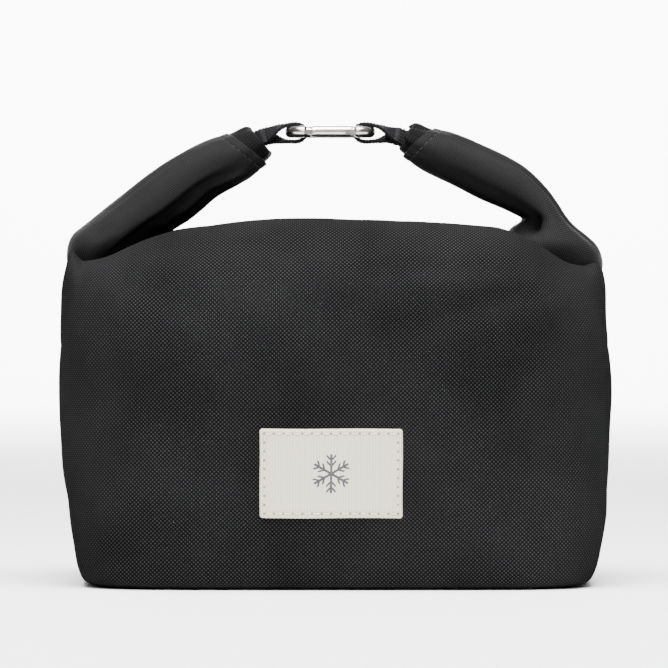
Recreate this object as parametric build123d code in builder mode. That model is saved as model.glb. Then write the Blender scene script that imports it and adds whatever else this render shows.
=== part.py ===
"""Roll-top insulated cooler bag with a snap-hook handle, in millimetres.

The bag stands on the XY plane with the origin under its centre. +X runs along the bag's width, -Y is the
labelled front and +Z is up. A soft pillow-shaped body (outer fabric, foam, foil
lining) closes in a valley along its top. The rolled rim lies in the valley, and its two free ends turn up
and inwards over the bag as the two halves of the handle. Webbing loops sewn into the rolled ends are
joined by a bent-rod snap hook whose plane is level.
"""

from build123d import *

import os

# Bag body
BODY_SECTIONS = [  # height, width, depth of the outer form
    (0, 240, 146),
    (84, 260, 156),
    (176, 248, 150),
]
SIDE_BULGE = 8  # rise of the side and front arcs over their chords
CORNER_RADIUS = 22
BASE_EDGE_RADIUS = 6
BASE_EDGE_SHARPENING = 0.6  # how much of each inset the inner base edges lose

# Top of the body: a rounded hump along the front and the back, and a valley between them
HUMP_TOP = 170
HUMP_Y = 46
HUMP_RADIUS = 24
WALL_TURN = (112, 78)  # height and half depth where the walls start to lean inwards
VALLEY_FLOOR = 144
CORNER_TOP = 151  # height of the humps at the side walls
HORIZON_RISE = 0.5  # keeps the arc over the humps just clear of their crest

# Layers, each with a 0.2 mm gap to the next
OUTER_FABRIC = (0, 1.2)
FOAM = (1.4, 4.4)
LINING = (4.6, 5.2)
BASE_FOAM_TOP = 9
LAYER_GAP = 0.2
SHOULDER_CLEARANCE = -0.3

# Label sewn on the front
LABEL_SIZE = (65.5, 41)
LABEL_CENTRE = (-2, 54)
LABEL_CORNER_RADIUS = 1
LABEL_LAYER = (-1.0, -0.1)

# Rolled rim lying in the valley: x, height and width of its flattened section
ROLL_STATIONS = [(0, 21, 38), (54, 20, 38), (76, 11, 34), (90, 8, 30)]
ROLL_GAP = 0.5
ROLL_SKIN = 2.4

# Handle: the rolled ends, from the snap hook down to the bag's corners
CLIP_X = -2.5  # the snap hook is fastened a little left of the middle
CLIP_Z = 212
SLEEVE_STATIONS = [  # x, z, slope in degrees, thickness, width, share of CLIP_X
    (35.5, 206.5, 24, 19, 27, 1.0),
    (58, 196, 28, 24, 33, 0.6),
    (84, 180.5, 35, 26, 38, 0.0),
    (104, 165, 40, 25, 42, 0.0),
    (118, 150, 55, 17, 42, 0.0),
]
SLEEVE_SKIN = 2.2
SPLIT_X = 86  # the free half of each sleeve starts here
SPLIT_GAP = 1.2
HEM_LENGTH = 7
HEM_STEP = 1.2  # the hem is this much smaller than the sleeve

# Webbing loops, each folded over one end of the snap hook
WEB_WIDTH = 8
WEB_THICKNESS = 1.3
WEB_OUTLINE = [  # outside of the loop: x out from the hook's centre, z from the hook's plane
    (26.5, 0.3),
    (22.5, 5.2),
    (13.5, 5.2),
    (10.6, 0.0),
    (13.5, -5.2),
    (22.5, -5.2),
]
WEB_FOLD_RADIUS = 1.6
WEB_TAIL_LENGTH = 20
WEB_TAIL_SLOPE = 24
TACK_START = 2.5  # along the doubled webbing
TACK_LENGTH = 3
TACK_THICKNESS = 0.4

# Snap hook, in its own level plane with its centre at the origin
ROD_RADIUS = 2.75
BEND_RADIUS = 7.75
BEND_X = 11.0  # where the straight sides end
NOSE_X = -12.2
GATE_TIP_X = -9.7
PIVOT_X = 7.9
HINGE_TONGUE_THICKNESS = 2.2
HINGE_TONGUE_RADIUS = 2.45
HINGE_SLOT_THICKNESS = 2.5
HINGE_SLOT_RADIUS = 2.8
PIN_RADIUS = 0.9
PIN_RUNNING_GAP = 0.05
END_ROUNDING = 2.2  # on the nose and on the gate's tip, where the two meet
NOSE_TONGUE = (5.0, 4.0, 2.0)  # length, width and thickness
TONGUE_ROOT = 1  # how much of each tongue is buried in the rod
NOSE_SLOT_DEPTH = 2.6
NOSE_SLOT_THICKNESS = 2.6
GATE_BORE_RADIUS = 1.1
GATE_BORE_DEPTH = 10
BORE_GAP = 0.1
PLUNGER_LENGTH = 3.4
SPRING_WIRE_RADIUS = 0.18
SPRING_PITCH = 0.8

BIG = 400  # larger than the bag, for cutting blocks
BELOW = 10  # how far cutting outlines start under the base

os.makedirs("parts", exist_ok=True)


def save(part, name):
    """Label one finished piece and write it to its own file."""
    part.label = name
    export_step(part, f"parts/{name}.step")


# ---------------------------------------------------------------- bag body


def bag_form(inset):
    """The closed pillow shape of the bag, with every wall moved inwards by inset."""
    with BuildPart() as form:
        for height, width, depth in BODY_SECTIONS:
            half_w = width / 2 - inset
            half_d = depth / 2 - inset
            with BuildSketch(Plane.XY.offset(max(height, inset))):
                with BuildLine():
                    corner = Vector(half_w - SIDE_BULGE, half_d - SIDE_BULGE)
                    ThreePointArc((-corner.X, -corner.Y), (0, -half_d), (corner.X, -corner.Y))
                    ThreePointArc((corner.X, -corner.Y), (half_w, 0), (corner.X, corner.Y))
                    ThreePointArc((corner.X, corner.Y), (0, half_d), (-corner.X, corner.Y))
                    ThreePointArc((-corner.X, corner.Y), (-half_w, 0), (-corner.X, -corner.Y))
                make_face()
                fillet(vertices(), CORNER_RADIUS - max(inset, 0))
        loft()
        fillet(faces().sort_by(Axis.Z)[0].edges(), BASE_EDGE_RADIUS - BASE_EDGE_SHARPENING * inset)
        turn_z, turn_y = WALL_TURN
        outer_y = HUMP_Y + HUMP_RADIUS - inset
        inner_y = HUMP_Y - HUMP_RADIUS + inset
        with BuildSketch(Plane.YZ):
            with BuildLine():
                Polyline(
                    (0, -BELOW),
                    (-BIG / 4, -BELOW),
                    (-BIG / 4, turn_z),
                    (-turn_y + inset, turn_z),
                    (-outer_y, HUMP_TOP - HUMP_RADIUS),
                )
                ThreePointArc(
                    (-outer_y, HUMP_TOP - HUMP_RADIUS),
                    (-HUMP_Y, HUMP_TOP - inset),
                    (-inner_y, HUMP_TOP - HUMP_RADIUS),
                )
                Polyline(
                    (-inner_y, HUMP_TOP - HUMP_RADIUS),
                    (-inner_y, VALLEY_FLOOR - inset),
                    (0, VALLEY_FLOOR - inset),
                )
                mirror(about=Plane.YZ)
            make_face()
        extrude(amount=BIG / 2, both=True, mode=Mode.INTERSECT)
        half_w = BODY_SECTIONS[1][1] / 2 + BELOW
        with BuildSketch(Plane.XZ):
            with BuildLine():
                Polyline(
                    (-half_w, CORNER_TOP - inset),
                    (-half_w, -BELOW),
                    (half_w, -BELOW),
                    (half_w, CORNER_TOP - inset),
                )
                ThreePointArc(
                    (half_w, CORNER_TOP - inset),
                    (0, HUMP_TOP - inset + HORIZON_RISE),
                    (-half_w, CORNER_TOP - inset),
                )
            make_face()
        extrude(amount=BIG / 2, both=True, mode=Mode.INTERSECT)
    return form.part


def layer(outside, inside):
    """The wall between two of the bag's forms."""
    with BuildPart() as wall:
        add(outside)
        add(inside, mode=Mode.SUBTRACT)
    return wall.part


def half_of(wall, keep):
    """The front or back half of a wall, cut on the side seams."""
    with BuildPart() as half:
        add(wall)
        split(bisect_by=Plane.XZ, keep=keep)
    return half.part


forms = {inset: bag_form(inset) for inset in (*OUTER_FABRIC, *FOAM, *LINING)}
outer_wall = layer(forms[OUTER_FABRIC[0]], forms[OUTER_FABRIC[1]])
foam_wall = layer(forms[FOAM[0]], forms[FOAM[1]])
lining_wall = layer(forms[LINING[0]], forms[LINING[1]])

save(half_of(outer_wall, Keep.TOP), "outer_front_panel")
save(half_of(outer_wall, Keep.BOTTOM), "outer_back_panel")
save(half_of(lining_wall, Keep.TOP), "foil_lining_front")
save(half_of(lining_wall, Keep.BOTTOM), "foil_lining_back")

with BuildPart() as foam_walls:
    add(foam_wall)
    split(bisect_by=Plane.XY.offset(BASE_FOAM_TOP), keep=Keep.TOP)
save(half_of(foam_walls.part, Keep.TOP), "foam_front")
save(half_of(foam_walls.part, Keep.BOTTOM), "foam_back")

with BuildPart() as foam_base:
    add(foam_wall)
    split(bisect_by=Plane.XY.offset(BASE_FOAM_TOP - LAYER_GAP), keep=Keep.BOTTOM)
save(foam_base.part, "foam_base")

# ---------------------------------------------------------------- label

with BuildPart() as label:
    add(layer(bag_form(LABEL_LAYER[0]), bag_form(LABEL_LAYER[1])))
    with BuildSketch(Plane.XZ.offset(BODY_SECTIONS[1][2] / 2 - SIDE_BULGE)):
        with Locations(LABEL_CENTRE):
            RectangleRounded(*LABEL_SIZE, LABEL_CORNER_RADIUS)
    extrude(amount=BIG / 4, mode=Mode.INTERSECT)
save(label.part, "label_patch")

# ---------------------------------------------------------------- rolled rim in the valley


def roll_section(x, height, width, skin):
    """One upright section of the flattened roll, shrunk by skin all round."""
    with BuildSketch(Plane.YZ.offset(x)) as section:
        with Locations((0, VALLEY_FLOOR + ROLL_GAP + height / 2)):
            Ellipse(width / 2 - skin, height / 2 - skin)
    return section.sketch


def rim_roll(skin):
    """The whole roll from end to end, shrunk by skin."""
    mirrored = [(-x, height, width) for x, height, width in reversed(ROLL_STATIONS[1:])]
    with BuildPart() as roll:
        loft([roll_section(*station, skin) for station in mirrored + ROLL_STATIONS])
    return roll.part


with BuildPart() as rolled_rim:
    add(rim_roll(0))
    add(rim_roll(ROLL_SKIN), mode=Mode.SUBTRACT)
save(rolled_rim.part, "rolled_rim")
save(rim_roll(ROLL_SKIN + LAYER_GAP), "rolled_rim_core")

# ---------------------------------------------------------------- handle halves


def sleeve_sections(side, skin):
    """Sections of one rolled end from the hook to the corner, shrunk by skin."""
    sections = []
    for x, z, slope, thickness, width, share in SLEEVE_STATIONS:
        centre = Vector(side * x + share * CLIP_X, 0, z)
        along = Vector(1, 0, 0).rotate(Axis.Y, slope)
        normal = Vector(side * along.X, 0, along.Z)
        plane = Plane(origin=centre, x_dir=(0, 1, 0), z_dir=normal)
        with BuildSketch(plane) as section:
            Ellipse(width / 2 - skin, thickness / 2 - skin)
        sections.append(section.sketch)
    return sections


def sleeve(side, skin):
    """One whole rolled end, shrunk by skin."""
    with BuildPart() as tube:
        loft(sleeve_sections(side, skin))
    return tube.part


def slice_across(part, near, far):
    """What lies between two planes across the bag's width."""
    low, high = sorted((near, far))
    with BuildPart() as piece:
        add(part)
        split(bisect_by=Plane.YZ.offset(low), keep=Keep.TOP)
        split(bisect_by=Plane.YZ.offset(high), keep=Keep.BOTTOM)
    return piece.part


def web_path_outline(side, inset):
    """Face of the webbing loop's outline, seen from the front, shrunk by inset."""
    points = [(CLIP_X + side * x, CLIP_Z + z) for x, z in WEB_OUTLINE]
    with BuildSketch(Plane.XZ) as outline:
        with BuildLine():
            Polyline(points, close=True)
        make_face()
        fillet(vertices(), WEB_FOLD_RADIUS)
        if inset:
            offset(amount=-inset, mode=Mode.REPLACE)
    return outline.sketch


def tail_plane(side):
    """Plane of the doubled webbing's side view, with its x running down the tail."""
    root = Vector(CLIP_X + side * (WEB_OUTLINE[0][0] - WEB_THICKNESS), 0, CLIP_Z)
    down = Vector(1, 0, 0).rotate(Axis.Y, WEB_TAIL_SLOPE)
    return Plane(origin=root, x_dir=(side * down.X, 0, down.Z), z_dir=(0, -1, 0))


for side, name in ((-1, "left"), (1, "right")):
    whole = sleeve(side, 0)
    hollow = sleeve(side, SLEEVE_SKIN)
    core = sleeve(side, SLEEVE_SKIN + LAYER_GAP)
    far_x = side * BIG / 2
    hem_x = side * (SLEEVE_STATIONS[0][0] + HEM_LENGTH) + CLIP_X

    with BuildPart() as skin:
        add(whole)
        add(hollow, mode=Mode.SUBTRACT)

    with BuildPart() as loop:
        extrude(web_path_outline(side, 0), amount=WEB_WIDTH / 2, both=True)
        extrude(web_path_outline(side, WEB_THICKNESS), amount=WEB_WIDTH, both=True, mode=Mode.SUBTRACT)
        with BuildSketch(tail_plane(side)):
            Rectangle(WEB_TAIL_LENGTH, 2 * WEB_THICKNESS, align=(Align.MIN, Align.CENTER))
        extrude(amount=WEB_WIDTH / 2, both=True)
    save(loop.part, f"{name}_webbing_loop")

    with BuildPart() as tack:
        with BuildSketch(tail_plane(side)):
            with Locations((TACK_START, 0)):
                Rectangle(
                    TACK_LENGTH,
                    2 * (WEB_THICKNESS + TACK_THICKNESS),
                    align=(Align.MIN, Align.CENTER),
                )
        extrude(amount=WEB_WIDTH / 2 + TACK_THICKNESS, both=True)
        add(loop.part, mode=Mode.SUBTRACT)
    save(tack.part, f"{name}_bar_tack")

    with BuildPart() as arm:
        add(slice_across(skin.part, hem_x, side * (SPLIT_X - SPLIT_GAP)))
    save(arm.part, f"{name}_handle_sleeve")

    with BuildPart() as hem:
        add(slice_across(sleeve(side, HEM_STEP), 0, hem_x - side * LAYER_GAP))
        add(hollow, mode=Mode.SUBTRACT)
    save(hem.part, f"{name}_rim_hem")

    with BuildPart() as arm_core:
        add(slice_across(core, 0, side * (SPLIT_X - SPLIT_GAP)))
        add(loop.part, mode=Mode.SUBTRACT)
    save(arm_core.part, f"{name}_handle_core")

    with BuildPart() as shoulder:
        add(slice_across(skin.part, side * SPLIT_X, far_x))
        add(bag_form(SHOULDER_CLEARANCE), mode=Mode.SUBTRACT)
    save(shoulder.part, f"{name}_corner_fold")

    with BuildPart() as shoulder_core:
        add(slice_across(core, side * SPLIT_X, far_x))
        add(bag_form(SHOULDER_CLEARANCE), mode=Mode.SUBTRACT)
    save(shoulder_core.part, f"{name}_corner_core")

# ---------------------------------------------------------------- snap hook

hook_centre = Location((CLIP_X, 0, CLIP_Z))
tongue_root = BEND_X + TONGUE_ROOT
slot_floor = PIVOT_X - HINGE_SLOT_RADIUS


def hinge_outline(radius, far):
    """Round-ended strip about the gate's pivot, running on to x = far."""
    with BuildSketch() as strip:
        with Locations((PIVOT_X, -BEND_RADIUS)):
            Circle(radius)
        with Locations(((PIVOT_X + far) / 2, -BEND_RADIUS)):
            Rectangle(abs(far - PIVOT_X), 2 * radius)
    return strip.sketch


with BuildPart() as hook_body:
    with BuildLine() as rod_path:
        ThreePointArc((-BEND_X, -BEND_RADIUS), (-BEND_X - BEND_RADIUS, 0), (-BEND_X, BEND_RADIUS))
        Line((-BEND_X, BEND_RADIUS), (BEND_X, BEND_RADIUS))
        ThreePointArc((BEND_X, BEND_RADIUS), (BEND_X + BEND_RADIUS, 0), (BEND_X, -BEND_RADIUS))
    with BuildSketch(Plane(origin=rod_path.line @ 0, z_dir=rod_path.line % 0)):
        Circle(ROD_RADIUS)
    sweep()
    with BuildSketch():
        with Locations((NOSE_X, -BEND_RADIUS)):
            Rectangle(2 * ROD_RADIUS, 4 * ROD_RADIUS, align=(Align.MIN, Align.CENTER))
    extrude(amount=2 * ROD_RADIUS, both=True, mode=Mode.SUBTRACT)
    nose_face = faces().filter_by(Axis.X).sort_by(Axis.Y)[0]
    fillet(nose_face.edges(), END_ROUNDING)
    with BuildSketch():
        with Locations((NOSE_X - TONGUE_ROOT, -BEND_RADIUS)):
            Rectangle(NOSE_TONGUE[0], NOSE_TONGUE[1], align=(Align.MIN, Align.CENTER))
    extrude(amount=NOSE_TONGUE[2] / 2, both=True)
    add(
        extrude(
            hinge_outline(HINGE_TONGUE_RADIUS, tongue_root),
            amount=HINGE_TONGUE_THICKNESS / 2,
            both=True,
            mode=Mode.PRIVATE,
        )
    )
    with Locations((PIVOT_X, -BEND_RADIUS, 0)):
        Cylinder(PIN_RADIUS, 4 * ROD_RADIUS, mode=Mode.SUBTRACT)
save(hook_body.part.moved(hook_centre), "hook_body")

with BuildPart() as gate:
    with BuildSketch(Plane.YZ.offset(GATE_TIP_X)):
        with Locations((-BEND_RADIUS, 0)):
            Circle(ROD_RADIUS)
    extrude(amount=PIVOT_X + ROD_RADIUS - GATE_TIP_X)
    fillet(faces().sort_by(Axis.X)[0].edges(), END_ROUNDING)
    with BuildSketch():
        with Locations((PIVOT_X, -BEND_RADIUS)):
            Circle(ROD_RADIUS)
        with Locations((PIVOT_X, -BEND_RADIUS)):
            Rectangle(PIVOT_X - GATE_TIP_X, 2 * ROD_RADIUS, align=(Align.MAX, Align.CENTER))
    extrude(amount=2 * ROD_RADIUS, both=True, mode=Mode.INTERSECT)
    add(
        extrude(
            hinge_outline(HINGE_SLOT_RADIUS, tongue_root),
            amount=HINGE_SLOT_THICKNESS / 2,
            both=True,
            mode=Mode.PRIVATE,
        ),
        mode=Mode.SUBTRACT,
    )
    with Locations((GATE_TIP_X + NOSE_SLOT_DEPTH / 2, -BEND_RADIUS, 0)):
        Box(NOSE_SLOT_DEPTH, 4 * ROD_RADIUS, NOSE_SLOT_THICKNESS, mode=Mode.SUBTRACT)
    with BuildSketch(Plane.YZ.offset(slot_floor - GATE_BORE_DEPTH)):
        with Locations((-BEND_RADIUS, 0)):
            Circle(GATE_BORE_RADIUS)
    extrude(amount=GATE_BORE_DEPTH + HINGE_SLOT_RADIUS, mode=Mode.SUBTRACT)
    with Locations((PIVOT_X, -BEND_RADIUS, 0)):
        Cylinder(PIN_RADIUS + PIN_RUNNING_GAP, 4 * ROD_RADIUS, mode=Mode.SUBTRACT)
save(gate.part.moved(hook_centre), "hook_gate")

with BuildPart() as pin:
    with Locations((PIVOT_X, -BEND_RADIUS, 0)):
        Cylinder(PIN_RADIUS, 2 * ROD_RADIUS)
save(pin.part.moved(hook_centre), "gate_pivot_pin")

with BuildPart() as plunger:
    with BuildSketch(Plane.YZ.offset(slot_floor - PLUNGER_LENGTH)):
        with Locations((-BEND_RADIUS, 0)):
            Circle(GATE_BORE_RADIUS - BORE_GAP)
    extrude(amount=PLUNGER_LENGTH + BORE_GAP)
save(plunger.part.moved(hook_centre), "gate_plunger")

spring_length = GATE_BORE_DEPTH - PLUNGER_LENGTH - 2 * BORE_GAP - 2 * SPRING_WIRE_RADIUS
spring_radius = GATE_BORE_RADIUS - BORE_GAP - SPRING_WIRE_RADIUS
with BuildPart() as spring:
    with BuildLine() as coil:
        Helix(
            SPRING_PITCH,
            spring_length,
            spring_radius,
            center=(slot_floor - GATE_BORE_DEPTH + BORE_GAP + SPRING_WIRE_RADIUS, -BEND_RADIUS, 0),
            direction=(1, 0, 0),
        )
    with BuildSketch(Plane(origin=coil.line @ 0, z_dir=coil.line % 0)):
        Circle(SPRING_WIRE_RADIUS)
    sweep(is_frenet=True)
save(spring.part.moved(hook_centre), "gate_spring")
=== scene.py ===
import math

import bmesh
import bpy
import numpy as np
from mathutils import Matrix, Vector


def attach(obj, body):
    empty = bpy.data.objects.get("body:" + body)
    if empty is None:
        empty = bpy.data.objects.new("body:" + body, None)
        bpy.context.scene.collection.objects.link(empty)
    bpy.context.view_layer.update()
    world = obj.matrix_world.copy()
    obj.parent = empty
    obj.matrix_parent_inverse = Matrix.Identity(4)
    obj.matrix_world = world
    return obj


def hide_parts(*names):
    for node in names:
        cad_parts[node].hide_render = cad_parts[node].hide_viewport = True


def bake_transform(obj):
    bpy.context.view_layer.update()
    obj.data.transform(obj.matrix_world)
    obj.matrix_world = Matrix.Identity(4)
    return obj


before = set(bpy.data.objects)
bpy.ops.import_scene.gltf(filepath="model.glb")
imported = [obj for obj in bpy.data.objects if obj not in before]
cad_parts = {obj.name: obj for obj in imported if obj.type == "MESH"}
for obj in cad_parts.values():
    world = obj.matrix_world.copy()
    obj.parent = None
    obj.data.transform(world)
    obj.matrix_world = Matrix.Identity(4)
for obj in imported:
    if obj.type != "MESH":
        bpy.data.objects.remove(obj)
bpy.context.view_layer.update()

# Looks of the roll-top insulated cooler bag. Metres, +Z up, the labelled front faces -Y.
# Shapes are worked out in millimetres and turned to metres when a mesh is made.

MM = 0.001

CLIP = (-2.5, 212.0)  # x and z of the snap hook's centre
WEAVE_PITCH = 0.95  # yarn spacing of the outer fabric
LABEL_CENTRE = (-2.0, 54.0)
LABEL_SIZE = (65.5, 41.0)
LABEL_RIB = 1.35
WEB_RIB = 1.5  # spacing of the webbing's ribs and of the picks along its edges
HEM_STITCH_LINE = 4.2  # from the sleeve's edge to its stitches


# ---- maths helpers

def smooth(edge0, edge1, x):
    """0 below edge0, 1 above edge1, smooth between."""
    t = np.clip((np.asarray(x, float) - edge0) / (edge1 - edge0), 0.0, 1.0)
    return t * t * (3.0 - 2.0 * t)


def bump(x, centre, width):
    """Bell curve of height 1."""
    return np.exp(-((np.asarray(x, float) - centre) / width) ** 2)


def through(stations, t):
    """Catmull-Rom curve through the rows of stations, at t from 0 to 1 along their index."""
    p = np.asarray(stations, float)
    n = len(p) - 1
    s = np.clip(np.asarray(t, float), 0.0, 1.0) * n
    i = np.minimum(s.astype(int), n - 1)
    f = (s - i)[:, None]
    p0, p1, p2, p3 = p[np.maximum(i - 1, 0)], p[i], p[i + 1], p[np.minimum(i + 2, n)]
    return 0.5 * (2 * p1 + (p2 - p0) * f + (2 * p0 - 5 * p1 + 4 * p2 - p3) * f**2
                  + (3 * p1 - p0 - 3 * p2 + p3) * f**3)


def wave_noise(x, y, scale, seed):
    """Smooth repeatable noise of about unit height, made of a few sine waves."""
    rng = np.random.default_rng(seed)
    total = np.zeros(np.broadcast(x, y).shape)
    for _ in range(7):
        angle = rng.uniform(0, 2 * math.pi)
        freq = 2 * math.pi / scale * rng.uniform(0.5, 1.7)
        phase = rng.uniform(0, 2 * math.pi)
        total = total + np.sin((x * math.cos(angle) + y * math.sin(angle)) * freq + phase)
    return total / 3.5


# ---- mesh helpers

def new_object(name, verts, faces, uvs=None, smooth_shade=True):
    """Mesh object from points in millimetres. uvs gives a (u, v) for each corner of each face."""
    mesh = bpy.data.meshes.new(name)
    mesh.from_pydata([tuple(v) for v in np.asarray(verts, float) * MM], [], faces)
    if uvs is not None:
        layer = mesh.uv_layers.new(name="cloth")
        layer.data.foreach_set("uv", np.asarray(uvs, np.float32).ravel())
    mesh.polygons.foreach_set("use_smooth", [smooth_shade] * len(mesh.polygons))
    mesh.update()
    obj = bpy.data.objects.new(name, mesh)
    bpy.context.scene.collection.objects.link(obj)
    return obj


def grid_object(name, rows, uv_rows=None, closed=True, cap_start=False, cap_end=False):
    """Tube or sheet from rows of points, each row one loop (closed) or line. uv_rows has one more
    column than rows when the rows are closed."""
    rows = np.asarray(rows, float)
    n, m = rows.shape[:2]
    verts = rows.reshape(-1, 3)
    faces, uvs = [], []
    for i in range(n - 1):
        for j in range(m if closed else m - 1):
            k = (j + 1) % m
            faces.append((i * m + j, i * m + k, (i + 1) * m + k, (i + 1) * m + j))
            if uv_rows is not None:
                uvs += [uv_rows[i][j], uv_rows[i][j + 1], uv_rows[i + 1][j + 1], uv_rows[i + 1][j]]
    verts = list(verts)
    for wanted, row, flip in ((cap_start, 0, True), (cap_end, n - 1, False)):
        if not wanted:
            continue
        verts.append(rows[row].mean(axis=0))
        centre = len(verts) - 1
        for j in range(m):
            a, b = row * m + j, row * m + (j + 1) % m
            faces.append((b, a, centre) if flip else (a, b, centre))
            if uv_rows is not None:
                uvs += [(0, 0), (0, 0.001), (0.001, 0)]
    return new_object(name, verts, faces, uvs if uv_rows is not None else None)


def arc_lengths(points):
    """Distance along a line of points, starting at 0."""
    steps = np.linalg.norm(np.diff(points, axis=0), axis=1)
    return np.concatenate([[0.0], np.cumsum(steps)])


def resample(points, count):
    """The same line with count points, evenly spaced."""
    s = arc_lengths(points)
    want = np.linspace(0, s[-1], count)
    return np.stack([np.interp(want, s, points[:, k]) for k in range(points.shape[1])], axis=1)


def outward(obj):
    """Makes a closed mesh's faces point outwards."""
    bm = bmesh.new()
    bm.from_mesh(obj.data)
    bmesh.ops.recalc_face_normals(bm, faces=bm.faces)
    bm.to_mesh(obj.data)
    bm.free()


def join_meshes(name, parts):
    """One object from several (verts, faces) lists."""
    verts, faces = [], []
    for part_verts, part_faces in parts:
        base = len(verts)
        verts += [tuple(v) for v in part_verts]
        faces += [tuple(base + i for i in f) for f in part_faces]
    return new_object(name, verts, faces)


def tube_faces(n, m):
    """Faces between n rings of m points each."""
    return [(i * m + j, i * m + (j + 1) % m, (i + 1) * m + (j + 1) % m, (i + 1) * m + j)
            for i in range(n - 1) for j in range(m)]


def end_faces(n, m):
    """The two faces that close n rings of m points at their ends."""
    return [tuple(range(m))[::-1], tuple((n - 1) * m + j for j in range(m))]


def tube_parts(path, radius, sides=8, up=(0, 0, 1)):
    """Vertices and faces of a closed tube along a path. radius may be one number or one per point."""
    path = np.asarray(path, float)
    radius = np.broadcast_to(np.asarray(radius, float), (len(path),))
    tangents = np.gradient(path, axis=0)
    tangents /= np.linalg.norm(tangents, axis=1)[:, None]
    side = np.cross(tangents, np.asarray(up, float))
    side /= np.maximum(np.linalg.norm(side, axis=1)[:, None], 1e-9)
    over = np.cross(side, tangents)
    angle = np.arange(sides) / sides * 2 * math.pi
    verts = [p + s * (math.cos(a) * r) + o * (math.sin(a) * r)
             for p, s, o, r in zip(path, side, over, radius) for a in angle]
    return verts, tube_faces(len(path), sides) + end_faces(len(path), sides)


# ---- material helpers

class Nodes:
    """Small helper that adds nodes to one material and links them."""

    def __init__(self, name, rough=0.8, metallic=0.0):
        self.mat = bpy.data.materials.new(name)
        self.mat.use_nodes = True
        self.tree = self.mat.node_tree
        self.shader = self.tree.nodes["Principled BSDF"]
        self.shader.inputs["Roughness"].default_value = rough
        self.shader.inputs["Metallic"].default_value = metallic

    def add(self, kind, **settings):
        node = self.tree.nodes.new(kind)
        for key, value in settings.items():
            setattr(node, key, value)
        return node

    def link(self, source, target):
        self.tree.links.new(source, target)

    def math(self, operation, a, b=0.0):
        node = self.add("ShaderNodeMath", operation=operation)
        for socket, value in zip(node.inputs, (a, b)):
            if isinstance(value, (int, float)):
                socket.default_value = value
            else:
                self.link(value, socket)
        return node.outputs[0]

    def noise(self, vector, scale, detail=2.0, roughness=0.5):
        node = self.add("ShaderNodeTexNoise")
        node.inputs["Scale"].default_value = scale
        node.inputs["Detail"].default_value = detail
        node.inputs["Roughness"].default_value = roughness
        self.link(vector, node.inputs["Vector"])
        return node.outputs["Fac"]

    def ramp(self, factor, low, high):
        """0 at low and 1 at high, clamped."""
        node = self.add("ShaderNodeMapRange")
        node.inputs["From Min"].default_value = low
        node.inputs["From Max"].default_value = high
        self.link(factor, node.inputs["Value"])
        return node.outputs["Result"]

    def mix(self, factor, a, b):
        node = self.add("ShaderNodeMix", data_type="RGBA")
        self.link(factor, node.inputs["Factor"])
        for index, value in ((6, a), (7, b)):
            if isinstance(value, (tuple, list)):
                node.inputs[index].default_value = (*value[:3], 1.0)
            else:
                self.link(value, node.inputs[index])
        return node.outputs[2]

    def bump(self, height, strength, distance):
        node = self.add("ShaderNodeBump")
        node.inputs["Strength"].default_value = strength
        node.inputs["Distance"].default_value = distance
        self.link(height, node.inputs["Height"])
        self.link(node.outputs["Normal"], self.shader.inputs["Normal"])

    def uv(self):
        """u and v of the cloth map, in millimetres."""
        source = self.add("ShaderNodeUVMap", uv_map="cloth")
        split = self.add("ShaderNodeSeparateXYZ")
        self.link(source.outputs["UV"], split.inputs[0])
        return split.outputs["X"], split.outputs["Y"]

    def place(self):
        """Place on the object, in metres."""
        return self.add("ShaderNodeTexCoord").outputs["Object"]


def weave_material(name, dark, light, pitch, rough, gloss, diagonal=False, depth=0.00022):
    """Plain weave: yarns cross over and under, so the raised crossings make a checkerboard of dots.
    Cut on the diagonal, its rows run along the piece."""
    n = Nodes(name, rough)
    u, v = n.uv()
    if diagonal:
        u, v = (n.math("MULTIPLY", n.math(kind, u, v), math.sqrt(0.5)) for kind in ("ADD", "SUBTRACT"))
    place = n.place()
    su = n.math("SINE", n.math("MULTIPLY", u, math.pi / pitch))
    sv = n.math("SINE", n.math("MULTIPLY", v, math.pi / pitch))
    cross = n.math("MULTIPLY", su, sv)
    over = n.ramp(cross, 0.05, 0.70)
    under = n.ramp(n.math("MULTIPLY", cross, -1.0), 0.05, 0.70)
    blotch = n.noise(place, 14.0, 3.0, 0.55)
    fuzz = n.noise(place, 1400.0, 2.0, 0.6)
    dot = n.math("MULTIPLY", over, n.ramp(n.math("ADD", blotch, n.math("MULTIPLY", fuzz, 0.5)), -0.1, 1.05))
    base = n.mix(dot, dark, light)
    worn = n.ramp(blotch, 0.35, 0.75)
    tinted = n.mix(n.math("MULTIPLY", worn, 0.12), base, light)
    n.link(tinted, n.shader.inputs["Base Color"])
    n.link(n.math("SUBTRACT", rough + 0.06, n.math("MULTIPLY", over, 0.16)), n.shader.inputs["Roughness"])
    height = n.math("ADD", n.math("MULTIPLY", n.math("ADD", over, n.math("MULTIPLY", under, 0.55)), 1.0),
                    n.math("MULTIPLY", fuzz, 0.25))
    n.bump(height, 0.9, depth)
    n.shader.inputs["Specular IOR Level"].default_value = gloss
    return n.mat


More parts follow.
